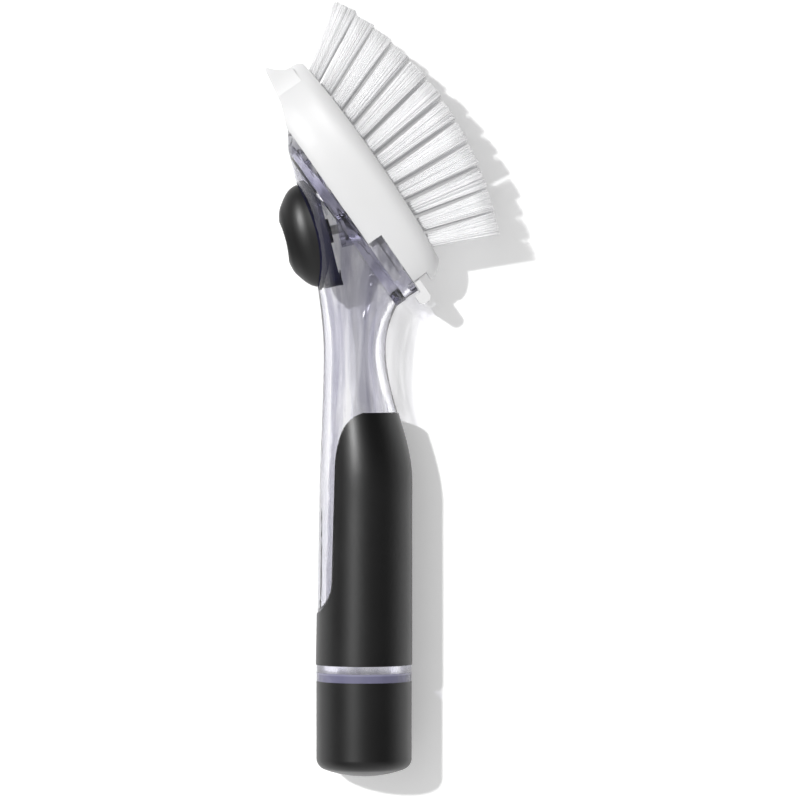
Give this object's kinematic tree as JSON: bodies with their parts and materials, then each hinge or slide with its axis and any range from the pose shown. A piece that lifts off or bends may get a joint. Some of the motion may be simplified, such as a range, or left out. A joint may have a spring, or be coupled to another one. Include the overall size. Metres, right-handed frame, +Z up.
{
  "type": "dish wand",
  "caption": "Soap-dispensing dish brush: clear handle with soft grip, screw cap, push-button valve and a slide-on angled brush head with scraper tip",
  "frame": {"origin": "centre of the bounding box on the table that the wand lies on", "axes": "+Z up from the table, +Y along the handle from the cap to the brush head, +X to the side that the bristles point to"},
  "size_m": [0.0802, 0.2642, 0.033],
  "materials": {
    "clear": "clear moulded plastic with a faint violet tint",
    "soft_black": "soft-touch matte moulding",
    "black_plastic": "plain black moulded plastic",
    "white_plastic": "satin white moulded plastic",
    "bristle": "straight nylon filaments in tufts",
    "seal_rubber": "smooth silicone",
    "steel": "drawn stainless wire"
  },
  "bodies": {
    "handle": {"handle_shell": "clear", "head_platform": "clear", "grip_sleeve": "soft_black", "button_socket": "black_plastic", "stem_seal": "seal_rubber", "return_spring": "steel"},
    "button": {"button_cap": "soft_black", "button_core": "white_plastic", "valve_stem": "white_plastic", "valve_poppet": "white_plastic", "poppet_seal": "seal_rubber"},
    "cap_seal": {"cap_gasket": "seal_rubber"},
    "cap": {"cap_liner": "clear", "cap_grip": "soft_black"},
    "brush_head": {"head_block": "white_plastic", "tuft_row_01": "bristle", "tuft_row_02": "bristle", "tuft_row_03": "bristle", "tuft_row_04": "bristle", "tuft_row_05": "bristle", "tuft_row_06": "bristle", "tuft_row_07": "bristle", "tuft_row_08": "bristle", "tuft_row_09": "bristle", "tuft_row_10": "bristle", "tuft_row_11": "bristle", "tuft_row_12": "bristle", "tuft_staples": "steel", "outlet_gasket": "seal_rubber"},
    "release_tab": {"release_tab": "white_plastic"}
  },
  "joints": [
    {"name": "button_press", "type": "slide", "parent": "handle", "child": "button", "axis": [0.9703, 0.2419, 0], "range_m": [0, 0.0025], "stiffness_N_per_m": 600, "springref_m": -0.002, "deforming": ["return_spring"]},
    {"name": "cap_lift", "type": "slide", "parent": "handle", "child": "cap_seal", "axis": [0, -1, 0], "range_m": [0, 0.012]},
    {"name": "cap_turn", "type": "hinge", "parent": "cap_seal", "child": "cap", "pos_m": [-0.00611, -0.11215, 0.0165], "axis": [0, -1, 0], "range_deg": [0, 720]},
    {"name": "head_slide", "type": "slide", "parent": "handle", "child": "brush_head", "axis": [-0.5736, 0.8192, 0], "range_m": [0, 0.076]},
    {"name": "tab_lift", "type": "hinge", "parent": "brush_head", "child": "release_tab", "pos_m": [0.00278, 0.05001, 0.0165], "axis": [0, 0, 1], "range_deg": [0, 8], "stiffness_Nm_per_rad": 0.8}
  ],
  "couplings": [
    {"joint": "cap_lift", "follows": "cap_turn", "m_per_rad": 0.00095493}
  ]
}
